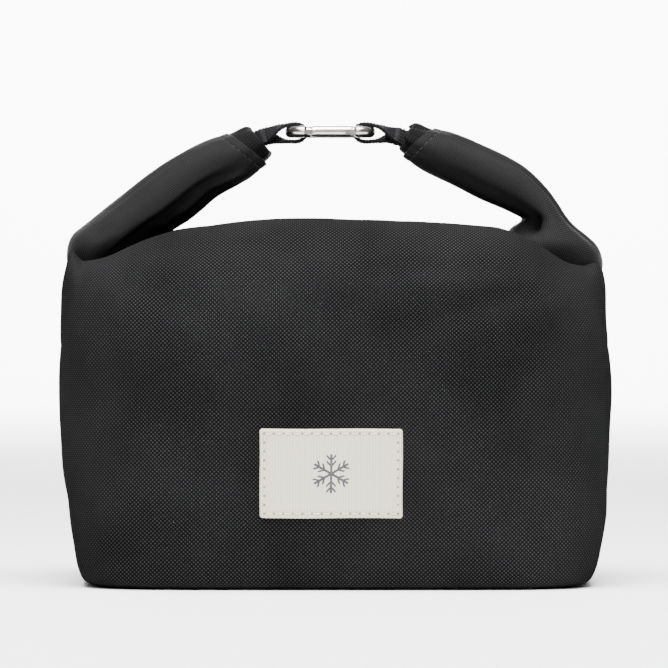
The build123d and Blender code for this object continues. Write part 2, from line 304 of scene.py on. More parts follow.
def rib_material(name, dark, light, pitch, cross_pitch, rough, depth):
    """Ribbed webbing or ribbed label cloth: strong ribs along v, fine weft across."""
    n = Nodes(name, rough)
    u, v = n.uv()
    rib = n.math("ABSOLUTE", n.math("SINE", n.math("MULTIPLY", u, math.pi / pitch)))
    weft = n.math("ABSOLUTE", n.math("SINE", n.math("MULTIPLY", v, math.pi / cross_pitch)))
    height = n.math("ADD", n.math("MULTIPLY", rib, 0.7), n.math("MULTIPLY", weft, 0.3))
    fuzz = n.noise(n.place(), 900.0, 3.0, 0.6)
    shade = n.math("ADD", n.math("MULTIPLY", height, 0.75), n.math("MULTIPLY", fuzz, 0.25))
    n.link(n.mix(shade, dark, light), n.shader.inputs["Base Color"])
    n.bump(n.math("ADD", height, n.math("MULTIPLY", fuzz, 0.2)), 0.9, depth)
    n.shader.inputs["Specular IOR Level"].default_value = 0.06
    return n.mat


def label_material():
    """Cream cotton tape with fine upright ribs and a plain printed snowflake."""
    n = Nodes("label_cotton", 0.85)
    u, v = n.uv()
    rib = n.math("ABSOLUTE", n.math("SINE", n.math("MULTIPLY", u, math.pi / LABEL_RIB)))
    weft = n.math("ABSOLUTE", n.math("SINE", n.math("MULTIPLY", v, math.pi / 0.6)))
    place = n.place()
    fuzz = n.noise(place, 700.0, 3.0, 0.6)
    stain = n.noise(place, 90.0, 2.0, 0.5)
    height = n.math("ADD", n.math("MULTIPLY", rib, 0.75), n.math("MULTIPLY", weft, 0.25))
    cream = n.mix(n.math("ADD", n.math("MULTIPLY", height, 0.7), n.math("MULTIPLY", fuzz, 0.3)),
                  (0.46, 0.42, 0.32), (0.70, 0.66, 0.54))
    warm = n.mix(n.math("MULTIPLY", n.ramp(stain, 0.45, 0.8), 0.3), cream, (0.66, 0.58, 0.43))
    # a six-armed snowflake: three crossed bars, each with two small chevrons at both ends
    ink = None
    for k in range(3):
        a = math.radians(90 + 60 * k)
        along = n.math("ADD", n.math("MULTIPLY", u, math.cos(a)), n.math("MULTIPLY", v, math.sin(a)))
        across = n.math("ABSOLUTE", n.math("SUBTRACT", n.math("MULTIPLY", v, math.cos(a)),
                                           n.math("MULTIPLY", u, math.sin(a))))
        reach = n.math("ABSOLUTE", along)
        bar = n.math("MULTIPLY", n.math("LESS_THAN", across, 0.55), n.math("LESS_THAN", reach, 9.0))
        ink = bar if ink is None else n.math("MAXIMUM", ink, bar)
        for start in (3.6, 6.2):
            slant = n.math("ABSOLUTE", n.math("SUBTRACT", n.math("SUBTRACT", reach, start), across))
            twig = n.math("MULTIPLY", n.math("LESS_THAN", slant, 0.62), n.math("LESS_THAN", across, 2.2))
            ink = n.math("MAXIMUM", ink, twig)
    printed = n.math("MULTIPLY", ink, n.ramp(n.math("ADD", height, fuzz), 0.25, 0.75))
    n.link(n.mix(printed, warm, (0.045, 0.047, 0.055)), n.shader.inputs["Base Color"])
    n.bump(n.math("ADD", height, n.math("MULTIPLY", fuzz, 0.3)), 0.8, 0.00018)
    n.shader.inputs["Sheen Weight"].default_value = 0.15
    return n.mat


def thread_material(name, dark, light):
    """Twisted sewing thread."""
    n = Nodes(name, 0.7)
    place = n.place()
    twist = n.noise(place, 2200.0, 2.0, 0.5)
    n.link(n.mix(n.ramp(twist, 0.3, 0.7), dark, light), n.shader.inputs["Base Color"])
    n.bump(twist, 0.7, 0.00008)
    n.shader.inputs["Sheen Weight"].default_value = 0.05
    n.shader.inputs["Specular IOR Level"].default_value = 0.15
    return n.mat


def steel_material(name, rough, tint):
    """Satin polished steel with fine drawn lines, small scratches and a darker worn film."""
    n = Nodes(name, rough, 1.0)
    place = n.place()
    stretch = n.add("ShaderNodeMapping")
    stretch.inputs["Scale"].default_value = (60.0, 2200.0, 2200.0)
    n.link(place, stretch.inputs["Vector"])
    lines = n.noise(stretch.outputs["Vector"], 1.0, 3.0, 0.6)
    film = n.noise(place, 260.0, 3.0, 0.6)
    dark = tuple(c * 0.72 for c in tint)
    n.link(n.mix(n.ramp(film, 0.35, 0.75), dark, tint), n.shader.inputs["Base Color"])
    n.link(n.math("ADD", rough - 0.05, n.math("MULTIPLY", n.math("ADD", lines, film), 0.07)),
           n.shader.inputs["Roughness"])
    n.bump(n.math("ADD", lines, n.math("MULTIPLY", film, 0.5)), 0.08, 0.00002)
    return n.mat


def foil_material():
    """Crinkled heat-sealed silver lining."""
    n = Nodes("silver_lining", 0.38, 0.75)
    place = n.place()
    crinkle = n.noise(place, 120.0, 5.0, 0.6)
    n.link(n.mix(crinkle, (0.42, 0.43, 0.45), (0.80, 0.81, 0.83)), n.shader.inputs["Base Color"])
    n.bump(crinkle, 0.6, 0.0008)
    return n.mat


def foam_material():
    """White closed-cell foam."""
    n = Nodes("closed_cell_foam", 0.9)
    place = n.place()
    cells = n.add("ShaderNodeTexVoronoi")
    cells.inputs["Scale"].default_value = 900.0
    n.link(place, cells.inputs["Vector"])
    n.link(n.mix(cells.outputs["Distance"], (0.62, 0.62, 0.62), (0.86, 0.86, 0.85)),
           n.shader.inputs["Base Color"])
    n.bump(cells.outputs["Distance"], 0.5, 0.0002)
    return n.mat


FABRIC = weave_material("black_plain_weave", (0.0034, 0.0034, 0.0035), (0.033, 0.033, 0.0336),
                        WEAVE_PITCH, 0.66, 0.0)
# the sleeves are the body's cloth cut on the diagonal; its light tone is set darker than the body's as
# painted shade over the sleeves
FABRIC_ROLLED_PAINTED_SHADE = weave_material("black_rolled_weave_painted_shade", (0.0052, 0.0052, 0.0053), (0.025, 0.025, 0.0254),
                               0.72, 0.56, 0.02, diagonal=True, depth=0.00010)
# the inner layers are the same cloth set much darker: painted shade inside the sleeve tips
FABRIC_INSIDE_PAINTED_SHADE = weave_material("black_rolled_layers_painted_shade", (0.0016, 0.0016, 0.0017), (0.014, 0.014, 0.0143),
                               0.90, 0.60, 0.03, diagonal=True, depth=0.00012)
WEBBING = rib_material("black_webbing", (0.0008, 0.0008, 0.0010), (0.010, 0.010, 0.0112),
                       WEB_RIB, 1.35, 0.75, 0.0005)
LABEL = label_material()
LABEL_THREAD = thread_material("cream_thread", (0.55, 0.48, 0.36), (0.95, 0.91, 0.80))
# dark brown dimples at the label's needle holes: painted shade in the holes
NEEDLE_HOLE_PAINTED_SHADE = thread_material("needle_hole_painted_shade", (0.10, 0.075, 0.045), (0.34, 0.27, 0.17))
BLACK_THREAD = thread_material("black_thread", (0.004, 0.004, 0.004), (0.03, 0.03, 0.03))
STEEL = steel_material("satin_steel", 0.21, (0.68, 0.67, 0.63))
SPRING_STEEL = steel_material("spring_steel", 0.3, (0.55, 0.55, 0.55))
FOIL = foil_material()
FOAM = foam_material()


def finish_piece(obj, body, material, replaced=()):
    """Outward faces, material, body and the CAD nodes that the piece stands for."""
    outward(obj)
    obj.data.materials.clear()
    obj.data.materials.append(material)
    if body:
        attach(obj, body)
    if replaced:
        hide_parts(*replaced)
    return obj


# ---- stage, camera and light

def plain_material(name, colour, rough):
    """Matt paint with a faint mottle."""
    n = Nodes(name, rough)
    grain = n.noise(n.place(), 3.0, 2.0, 0.5)
    n.link(n.mix(n.math("MULTIPLY", grain, 0.1), colour, tuple(c * 0.97 for c in colour)),
           n.shader.inputs["Base Color"])
    return n.mat


def make_stage():
    """White floor that curves up into a backdrop, farther out than any camera round the bag."""
    bend, radius, turn = 2700, 900, 16
    profile = [(-5000, 0), (bend, 0)]
    for k in range(1, turn + 1):
        a = math.pi / 2 * k / turn
        profile.append((bend + radius * math.sin(a), radius - radius * math.cos(a)))
    profile.append((bend + radius, 4500))
    rows = [[(x, y, z) for x in np.linspace(-5000, 5000, 5)] for y, z in profile]
    stage = grid_object("studio_floor", rows, closed=False)
    stage.data.materials.append(plain_material("studio_white", (0.93, 0.93, 0.93), 0.9))


def area_light(name, place, target, size, power):
    data = bpy.data.lights.new(name, "AREA")
    data.shape = "RECTANGLE"
    data.size, data.size_y = size
    data.energy = power
    light = bpy.data.objects.new(name, data)
    bpy.context.scene.collection.objects.link(light)
    light.location = place
    light.rotation_euler = (Vector(target) - Vector(place)).to_track_quat("-Z", "Y").to_euler()


def make_lights():
    world = bpy.data.worlds.new("studio")
    bpy.context.scene.world = world
    world.use_nodes = True
    tree = world.node_tree
    split = tree.nodes.new("ShaderNodeSeparateXYZ")
    fade = tree.nodes.new("ShaderNodeMapRange")
    fade.inputs["From Min"].default_value = 0.0
    fade.inputs["From Max"].default_value = 0.5
    fade.inputs["To Min"].default_value = 0.58
    fade.inputs["To Max"].default_value = 2.6
    tree.links.new(tree.nodes.new("ShaderNodeTexCoord").outputs["Generated"], split.inputs[0])
    tree.links.new(split.outputs["Z"], fade.inputs["Value"])
    tree.links.new(fade.outputs["Result"], tree.nodes["Background"].inputs["Strength"])
    area_light("overhead_softbox", (0.0, -0.35, 1.6), (0, 0, 0.12), (1.5, 1.0), 150.0)
    area_light("left_softbox", (-0.6, -1.7, 1.0), (0, 0, 0.12), (0.8, 0.8), 15.0)
    area_light("right_softbox", (0.6, -1.7, 1.0), (0, 0, 0.12), (0.8, 0.8), 7.5)
    area_light("backdrop_light", (0.0, 2.6, 1.7), (0, 3.7, 0.4), (2.5, 0.8), 360.0)


def make_camera():
    """Almost level with the bag's middle, well back, with a long lens."""
    distance, elevation, frame_width = 2.5, math.radians(1.0), 0.3158
    target = Vector((-0.0007, 0.0, 0.1166))
    data = bpy.data.cameras.new("camera")
    data.sensor_width = 36.0
    data.lens = 36.0 * distance / frame_width
    data.clip_end = 20.0
    camera = bpy.data.objects.new("camera", data)
    bpy.context.scene.collection.objects.link(camera)
    camera.location = target + Vector((0, -math.cos(elevation), math.sin(elevation))) * distance
    camera.rotation_euler = (target - camera.location).to_track_quat("-Z", "Y").to_euler()
    bpy.context.scene.camera = camera


make_stage()
make_lights()
make_camera()


# ---- bag body

# Rings of the body from the base to the slit where front and back meet, in millimetres:
# half width, half depth, squareness, height at the front and back, height at the sides
RINGS = [
    (40, 18, 2.6, 0.4, 0.4),
    (84, 45, 3.2, 0.4, 0.4),
    (106, 63, 4.6, 0.4, 0.4),
    (115.5, 71.5, 5.6, 1.3, 1.3),
    (119.5, 74.2, 5.8, 6, 6),
    (122.3, 75.6, 5.2, 18, 18),
    (126.5, 77.2, 4.2, 50, 50),
    (129.8, 78.3, 3.7, 84, 84),
    (129.6, 77.6, 3.7, 110, 108),
    (128.2, 74.6, 3.7, 132, 126),
    (127.0, 68.5, 3.6, 149, 139),
    (125.5, 59.5, 3.4, 162, 147),
    (122.5, 47.5, 3.2, 170.7, 151),
    (117.5, 35.0, 3.0, 169, 151),
    (112.0, 25.5, 2.8, 160, 148),
    (107.0, 20.0, 2.6, 149, 144),
    (104.0, 9.0, 2.4, 142, 141),
    (102.0, 1.2, 2.2, 140.5, 140),
]
AROUND = 480
UP = 250


def ring_points(a, b, power, count):
    """Evenly spaced points of a superellipse, starting at the right side seam, going by the back."""
    t = np.linspace(0, 2 * math.pi, 4 * count, endpoint=False)
    x = a * np.sign(np.cos(t)) * np.abs(np.cos(t)) ** (2 / power)
    y = b * np.sign(np.sin(t)) * np.abs(np.sin(t)) ** (2 / power)
    line = np.stack([x, y], axis=1)
    return resample(np.vstack([line, line[:1]]), count + 1)[:-1]


def body_grid(corner_turn=1.0):
    """The bag's outer surface as UP rings of AROUND points. corner_turn scales the turned-up corners."""
    t = np.linspace(0, 1, UP)
    rings = through(RINGS, t)
    rows = np.zeros((UP, AROUND, 3))
    for i, (a, b, power, z_face, z_side) in enumerate(rings):
        flat = ring_points(a, b, max(power, 2.05), AROUND)
        x = flat[:, 0]
        away = np.abs(x)
        crown = np.minimum(((x - 4.0) / 85) ** 2, 1.0)
        drop = 0.32 * crown + 0.68 * smooth(76, 118, away)
        low_corner = 3.5 * smooth(90, 112, x) * smooth(100, 140, z_side)
        # the front corners turn up round the foot of each sleeve
        foot = smooth(118, 150, z_side) * smooth(8, 26, -flat[:, 1])
        turned_up = corner_turn * foot * (13.0 * smooth(117.5, 126.5, -x) + 5.0 * smooth(117, 125, x))
        z = z_face + (z_side - z_face) * drop - low_corner + turned_up
        # the filled bag leans out a little low on the right and at mid height on the left
        lean = smooth(20, 112, x) * (3.2 * bump(z, 32, 30) - 1.9 * bump(z, 128, 24))
        lean = lean - smooth(20, 112, -x) * 1.3 * bump(z, 56, 24)
        rows[i] = np.stack([x + lean, flat[:, 1], z], axis=1)
    return rows


def surface_normals(rows):
    """Unit normals of a closed grid."""
    du = np.roll(rows, -1, axis=1) - np.roll(rows, 1, axis=1)
    dv = np.gradient(rows, axis=0)
    normal = np.cross(du, dv)
    length = np.linalg.norm(normal, axis=2, keepdims=True)
    return normal / np.maximum(length, 1e-9)


def crease(x, z, start, end, width, depth):
    """A soft fold along the line from start to end: a valley with a ridge beside it."""
    (x0, z0), (x1, z1) = start, end
    length = math.hypot(x1 - x0, z1 - z0)
    ux, uz = (x1 - x0) / length, (z1 - z0) / length
    along = ((x - x0) * ux + (z - z0) * uz) / length
    across = (x - x0) * -uz + (z - z0) * ux
    fade = smooth(-0.15, 0.2, along) * (1 - smooth(0.55, 1.15, along))
    return fade * depth * (-bump(across, 0, width) + 0.6 * bump(across, 1.7 * width, width))


def body_folds(rows):
    """How far each point of the body moves along its normal, in millimetres."""
    x, y, z = rows[..., 0], rows[..., 1], rows[..., 2]
    front = smooth(30, 62, -y)
    back = smooth(30, 62, y)
    wall = smooth(4, 22, z)
    out = np.zeros(x.shape)
    for start, end, width, depth in (
        ((112, 146), (20, 118), 7, 1.3),
        ((118, 138), (62, 70), 8, 1.2),
        ((110, 149), (-10, 148), 5, 0.8),
        ((-112, 150), (-40, 118), 8, 1.1),
        ((-118, 140), (-86, 66), 8, 0.9),
        ((-98, 156), (30, 158), 5, 0.5),
        ((104, 12), (60, 46), 8, 0.9),
        ((-104, 12), (-66, 42), 8, 0.9),
    ):
        out += front * crease(x, z, start, end, width, depth)
    for start, end, width, depth in (
        ((114, 146), (10, 104), 8, 1.3),
        ((-114, 146), (-30, 112), 7, 1.2),
        ((-116, 132), (-70, 60), 8, 1.1),
        ((104, 12), (50, 52), 8, 0.9),
        ((-104, 12), (-58, 38), 8, 0.9),
    ):
        out += back * crease(x, z, start, end, width, depth)
    side = smooth(100, 122, np.abs(x)) * (1 - front) * (1 - back)
    for start, end, width, depth in (
        ((-44, 140), (6, 90), 7, 1.6),
        ((46, 138), (-4, 86), 7, 1.5),
        ((-50, 20), (-16, 60), 7, 1.0),
        ((50, 20), (18, 58), 7, 1.0),
    ):
        out += side * crease(y, z, start, end, width, depth)
    out += wall * (wave_noise(x + 0.4 * y, z, 95, 3) * 0.7 + wave_noise(x - y, z, 38, 5) * 0.22)
    # side seams draw the wall in a little, and boxed corners pinch at the base
    seam = smooth(110, 126, np.abs(x)) * bump(y, 0, 2.2)
    out -= 1.1 * seam * smooth(6, 20, z) * (1 - smooth(146, 152, z))
    return out


def body_uv(rows):
    """Cloth map in millimetres: u runs round each half from its middle, v runs up from the base."""
    n, m = rows.shape[:2]
    v_lines = np.stack([arc_lengths(rows[:, j]) for j in range(m)] + [arc_lengths(rows[:, 0])], axis=1)
    half = m // 2
    edge_row = int(np.argmax(rows[:, 3 * m // 4, 2] > 4.0))
    v_lines = v_lines - v_lines[edge_row]
    uv = np.zeros((n, m + 1, 2))
    for i in range(n):
        loop = np.vstack([rows[i], rows[i][:1]])
        s = arc_lengths(loop)
        back_mid, front_mid = s[half // 2], s[half + half // 2]
        uv[i, :, 0] = np.where(np.arange(m + 1) <= half, back_mid - s, s - front_mid)
    uv[:, :, 1] = v_lines
    return uv


def make_body():
    rows = body_grid()
    folds = body_folds(rows)
    normal = surface_normals(rows)
    rows = rows + normal * folds[..., None]
    rows[..., 2] = np.maximum(rows[..., 2], 0.25)
    body = grid_object("outer_fabric_body", rows, body_uv(rows), cap_start=True, cap_end=True)
    return body, rows, surface_normals(rows)


body, body_rows, body_normals = make_body()
finish_piece(body, "bag", FABRIC, ("outer_front_panel", "outer_back_panel"))


plain_rows = body_grid(corner_turn=0.0)
plain_normals = surface_normals(plain_rows)


def inner_shell(name, inset, material, replaced):
    """A closed layer inside the body, inset from its plain surface all over."""
    step = 4
    rows = (plain_rows - plain_normals * inset)[::step, ::step]
    rows[..., 2] = np.maximum(rows[..., 2], inset + 0.3)
    shell = grid_object(name, rows, cap_start=True, cap_end=True)
    finish_piece(shell, "bag", material, replaced)
    return shell


foam = inner_shell("foam_insulation", 3.2, FOAM, ("foam_front", "foam_back", "foam_base"))
inner_shell("silver_lining", 6.6, FOIL, ("foil_lining_front", "foil_lining_back"))


def near_label():
    """Points and normals of the body's front round the label."""
    points, normals = body_rows.reshape(-1, 3), body_normals.reshape(-1, 3)
    keep = (points[:, 1] < -30) & (np.abs(points[:, 0] - LABEL_CENTRE[0]) < LABEL_SIZE[0] / 2 + 6) \
        & (np.abs(points[:, 2] - LABEL_CENTRE[1]) < LABEL_SIZE[1] / 2 + 6)
    return points[keep], normals[keep]


FRONT_POINTS, FRONT_NORMALS = near_label()


def on_front(x, z, lift):
    """Point on the front of the body at x and z, raised by lift. All in millimetres."""
    d = (FRONT_POINTS[:, 0] - x) ** 2 + (FRONT_POINTS[:, 2] - z) ** 2
    near = np.argpartition(d, 6)[:6]
    w = 1.0 / (d[near] + 0.05)
    w /= w.sum()
    y = (FRONT_POINTS[near, 1] * w).sum()
    normal = (FRONT_NORMALS[near] * w[:, None]).sum(axis=0)
    return np.array([x, y, z]) + normal * (lift / np.linalg.norm(normal))


# ---- rolled rim and handle sleeves

# The two edges of each rolled end seen from the front, from its tip at the snap hook down into the
# bag's corner: x and z of the upper edge, x and z of the lower edge, half width
SLEEVE_EDGES = {
    "left": [
        (-41.4, 215.4, -29.4, 201.2, 13.0),
        (-48.8, 213.0, -34.2, 195.4, 14.5),
        (-57.6, 209.8, -40.6, 191.0, 15.8),
        (-67.2, 205.5, -47.8, 186.8, 16.8),
        (-78.7, 198.9, -56.5, 181.8, 17.6),
        (-89.1, 191.3, -63.6, 176.2, 18.6),
        (-99.0, 183.7, -70.6, 170.5, 20.0),
        (-109.4, 176.2, -78.7, 164.8, 22.5),
        (-118.7, 168.7, -86.0, 158.0, 25.0),
        (-124.4, 163.2, -91.5, 151.0, 26.5),
        (-126.6, 155.5, -94.5, 144.0, 25.5),
        (-126.0, 146.0, -98.0, 137.0, 22.0),
    ],
    "right": [
        (36.2, 216.6, 30.2, 203.2, 11.5),
        (45.0, 214.9, 36.2, 197.9, 13.5),
        (55.5, 211.9, 44.5, 193.1, 15.0),
        (68.8, 206.2, 55.9, 187.4, 16.5),
        (80.2, 200.4, 66.0, 182.5, 17.2),
        (89.1, 194.9, 73.4, 179.3, 17.5),
        (95.8, 189.3, 79.6, 176.5, 17.8),
        (101.2, 183.7, 84.6, 173.8, 18.2),
        (105.3, 178.1, 88.2, 171.6, 19.0),
        (108.8, 172.6, 87.4, 169.6, 20.5),
        (112.8, 167.9, 83.6, 167.0, 22.5),
        (118.2, 163.4, 80.9, 162.6, 24.5),
        (123.0, 158.8, 80.4, 156.5, 26.0),
        (125.4, 153.5, 83.0, 150.0, 26.5),
        (125.6, 147.0, 87.0, 143.0, 25.0),
        (121.0, 138.0, 92.0, 136.0, 21.0),
    ],
}
SLEEVE_START = {"left": 7.4, "right": 6.6}  # how far the inner layers stand out of the outer one
HEM_SLANT = {"left": (2.6, -0.6), "right": (3.6, -1.3)}  # more of that along the top, less along the front
SIDE_SIGN = {"left": -1, "right": 1}
ROUND = 168


class SleeveLine:
    """The centre line of one sleeve with its section at each point."""

    def __init__(self, side):
        dense = through(SLEEVE_EDGES[side], np.linspace(0, 1, 1600))
        upper, lower = dense[:, :2], dense[:, 2:4]
        centre = (upper + lower) / 2
        self.s = arc_lengths(centre)
        self.length = self.s[-1]
        self.sign = SIDE_SIGN[side]
        half = (upper - lower) / 2
        thick = np.linalg.norm(half, axis=1)
        self.table = np.column_stack([centre, half / thick[:, None], thick, dense[:, 4]])

    def at(self, s):
        """Centre, tangent, outward direction, half thickness and half width at distances s."""
        s = np.asarray(s, float)
        x, z, nx, nz, thick, wide = (np.interp(s, self.s, self.table[:, k]) for k in range(6))
        size = np.hypot(nx, nz)
        nx, nz = nx / size, nz / size
        return x, z, nz * self.sign, -nx * self.sign, nx, nz, thick, wide

    def rings(self, s, shrink=0.0, moved=None, extend=None):
        """Section rings at distances s, each point shrunk inwards and moved outwards by moved(s, angle).
        Angle 0 is the outside of the bend, 90 degrees the front. extend(s, angle) pushes points along
        the tangent, towards the corner."""
        s = np.asarray(s, float)
        x, z, tx, tz, nx, nz, ht, hw = self.at(np.clip(s, 0, self.length))
        angle = np.arange(ROUND) / ROUND * 2 * math.pi
        shrink = np.broadcast_to(shrink, np.shape(s))
        power = 2.25
        ca = np.sign(np.cos(angle)) * np.abs(np.cos(angle)) ** (2 / power)
        sa = np.sign(np.sin(angle)) * np.abs(np.sin(angle)) ** (2 / power)
        rows = np.zeros((len(s), ROUND, 3))
        for i in range(len(s)):
            a, b = max(ht[i] - shrink[i], 0.4), max(hw[i] - shrink[i], 0.4)
            out = np.zeros(ROUND) if moved is None else moved(s[i], angle)
            gx, gy = np.cos(angle) / a, np.sin(angle) / b
            size = np.hypot(gx, gy)
            along_n = a * ca + out * gx / size
            along_y = b * sa + out * gy / size
            push = 0.0 if extend is None else extend(s[i], angle)
            rows[i, :, 0] = x[i] + nx[i] * along_n + tx[i] * push
            rows[i, :, 1] = -along_y
            rows[i, :, 2] = z[i] + nz[i] * along_n + tz[i] * push
        return rows


def wrapped(angle, centre):
    """Angle from centre, between minus and plus half a turn."""
    return (angle - centre + math.pi) % (2 * math.pi) - math.pi


def sleeve_moves(side):
    """Folds of one sleeve as a function of distance from its tip and angle round it."""
    start = SLEEVE_START[side]

    def groove(angle, degrees, width):
        return bump(np.degrees(wrapped(angle, math.radians(degrees))), 0, width)

    def span(s, up0, up1, down0, down1):
        return float(smooth(up0, up1, s) * (1 - smooth(down0, down1, s)))

    def moved(s, angle):
        out = 0.4 * wave_noise(s * np.ones_like(angle), 18 * np.sin(angle) + 9 * np.cos(2 * angle), 30, 11)
        out = out * float(smooth(start, start + 14, s))
        # gathers at the tip fade out down the sleeve, and the turned hem has a stitched groove
        out = out + 0.3 * math.exp(-((s - start) / 9.0) ** 2) * np.sin(9 * angle + 0.6 * np.sin(3 * angle))
        out = out - 0.4 * bump(s, start + HEM_STITCH_LINE, 0.6)
        if side == "right":
            lap = 30 + 6 * math.sin(s / 24.0)
            edge = 0.75 * groove(angle, lap - 13, 9) - 0.8 * groove(angle, lap, 6)
            out = out + span(s, 12, 26, 84, 98) * edge
            out = out - 0.9 * span(s, 18, 36, 74, 88) * groove(angle, 122, 14)
            # the roll doubles back on itself above the corner and leaves a deep pit
            out = out - 11.5 * bump(s, 80.5, 4.6) * groove(angle, 122, 24)
            out = out - 2.4 * float(smooth(88, 98, s)) * groove(angle, 74, 22)
            out = out - 5.0 * float(smooth(90, 106, s)) * groove(angle, 112, 28)
        else:
            low = 128 + 16 * float(smooth(20, 70, s))
            under = smooth(100, 118, np.degrees(angle)) * (1 - smooth(168, 180, np.degrees(angle)))
            out = out - span(s, 16, 40, 200, 210) * 4.2 * under
            out = out + span(s, 12, 24, 52, 66) * 2.6 * groove(angle, low + 6, 8)
            out = out - 0.5 * span(s, 16, 34, 70, 90) * groove(angle, 34, 9)
            out = out - 4.0 * float(smooth(66, 86, s)) * groove(angle, 124, 24)
            out = out - 6.0 * float(smooth(80, 98, s)) * groove(angle, 100, 26)
            out = out + 2.2 * bump(s, 66.0, 3.5) * groove(angle, 150, 14)
            out = out - 2.0 * float(smooth(72, 86, s)) * groove(angle, 66, 18)
        out = out + 0.9 * float(smooth(start, start + 12, s)) * groove(angle, 180, 34)
        back_lap = -64 + 5 * math.sin(s / 17.0)
        out = out - 1.2 * groove(angle, back_lap, 6) + 0.8 * groove(angle, back_lap + 13, 9)
        return out - 1.1 * float(smooth(20, 45, s)) * groove(angle, -128, 14)

    return moved


def hem_lean(side):
    """The rolled layers end on a slant, so the outer one's edge is not square to the roll."""
    start, (top, front) = SLEEVE_START[side], HEM_SLANT[side]

    def lean(s, angle):
        fade = math.exp(-(max(s - start, 0) / 12.0) ** 2)
        return (top * np.cos(angle) + front * np.maximum(np.sin(angle), 0)) * fade

    return lean


def ring_uv(rows):
    """Cloth map of a tube: u round it, v along it, in millimetres."""
    n, m = rows.shape[:2]
    uv = np.zeros((n, m + 1, 2))
    loops = np.linalg.norm(np.roll(rows, -1, axis=1) - rows, axis=2)
    uv[:, 1:, 0] = np.cumsum(loops, axis=1)
    uv[:, :, 0] -= uv[:, m // 4: m // 4 + 1, 0]
    lines = np.stack([arc_lengths(rows[:, j]) for j in range(m)] + [arc_lengths(rows[:, 0])], axis=1)
    uv[:, :, 1] = 0.5 * lines + 0.5 * arc_lengths(rows.mean(axis=1))[:, None]
    return uv


def make_sleeve(side):
    """Outer layer of one rolled end: a folded tube with a turned hem at its tip."""
    line = SleeveLine(side)
    start = SLEEVE_START[side]
    moves = sleeve_moves(side)
    s = np.concatenate([[start + 9.0, start + 8.0, start + 4.0, start + 0.5, start + 0.1, start + 0.15],
                        np.linspace(start + 0.5, start + 8, 26), np.linspace(start + 8.4, line.length, 180)])
    shrink = np.zeros(len(s))
    shrink[:7] = (5.0, 2.6, 1.3, 0.95, 0.65, 0.25, 0.05)
    rows = line.rings(s, shrink, moves, hem_lean(side))
    sleeve = grid_object(f"{side}_sleeve", rows, ring_uv(rows), cap_start=True, cap_end=True)
    stands_for = [f"{side}_{part}" for part in ("handle_sleeve", "corner_fold", "handle_core", "corner_core")]
    # the sleeve cloth's darker light tone is painted shade
    finish_piece(sleeve, None, FABRIC_ROLLED_PAINTED_SHADE, stands_for)
    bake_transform(sleeve)
    return line, moves


def make_inner_layers(side, line):
    """The gathered inner layers of the roll that show at the sleeve's tip, one inside another."""
    start = SLEEVE_START[side]
    pieces = []
    for layer, (shrink, reach) in enumerate(((0.0, 0.0), (2.4, 1.0), (4.6, 2.4))):
        def gathers(s, angle, layer=layer):
            tip = math.exp(-(s / 7.0) ** 2)
            lumps = 0.9 if side == "right" else 0.4
            waves = 0.7 * np.sin((8 + 2 * layer) * angle + layer) + 0.5 * np.sin(5 * angle + 1.3)
            return tip * lumps * waves

        def ragged(s, angle, layer=layer):
            tip = math.exp(-(s / 4.0) ** 2)
            rough = 0.9 if side == "right" else 0.35
            return tip * rough * (0.6 * np.sin(3 * angle + layer) + 0.5 * np.sin(7 * angle + 2 * layer))

        s = np.array([start + 7.5, start + 5, start + 2.5, start, start - 2.0, reach + 3.2, reach + 2.2,
                      reach + 1.4, reach + 0.8, reach + 0.35, reach + 0.1, reach, reach + 0.05, reach + 0.5,
                      reach + 2.0, start + 1.5, start + 7.0])
        inset = shrink + np.array([1.9, 1.7, 1.5, 1.3, 1.0, 0.75, 0.65, 0.65, 0.8, 1.05, 1.35, 1.75, 2.1,
                                   2.4, 2.55, 3.3, 3.5])
        pieces.append(line.rings(s, inset, gathers, ragged))
    rows = np.concatenate(pieces, axis=0)
    faces_parts = []
    for rings in pieces:
        # the last ring joins the first, so each layer is closed like a folded hem
        last = (len(rings) - 1) * ROUND
        closing = [(last + j, last + (j + 1) % ROUND, (j + 1) % ROUND, j) for j in range(ROUND)]
        faces_parts.append((rings.reshape(-1, 3), tube_faces(len(rings), ROUND) + closing))
    plug = line.rings(np.array([start + 7.0, 4.2, 3.4]), np.array([7.2, 7.2, 8.2]))
    n = len(plug)
    faces_parts.append((plug.reshape(-1, 3), tube_faces(n, ROUND) + end_faces(n, ROUND)))
    hem = join_meshes(f"{side}_rolled_layers", faces_parts)
    uv = hem.data.uv_layers.new(name="cloth")
    total = sum(len(p) for p in pieces) + n
    all_rows = np.concatenate([rows, plug], axis=0)
    loops = np.zeros(len(hem.data.loops), dtype=np.int64)
    hem.data.loops.foreach_get("vertex_index", loops)
    around = np.tile(np.arange(ROUND) * 0.5, total)[loops]
    along = np.repeat(arc_lengths(all_rows.mean(axis=1)), ROUND)[loops]
    uv.data.foreach_set("uv", np.stack([around, along], axis=1).astype(np.float32).ravel())
    # the inner layers' cloth is much darker than the outer cloth: painted shade in the sleeve tips
    finish_piece(hem, f"{side}_handle", FABRIC_INSIDE_PAINTED_SHADE, (f"{side}_rim_hem",))


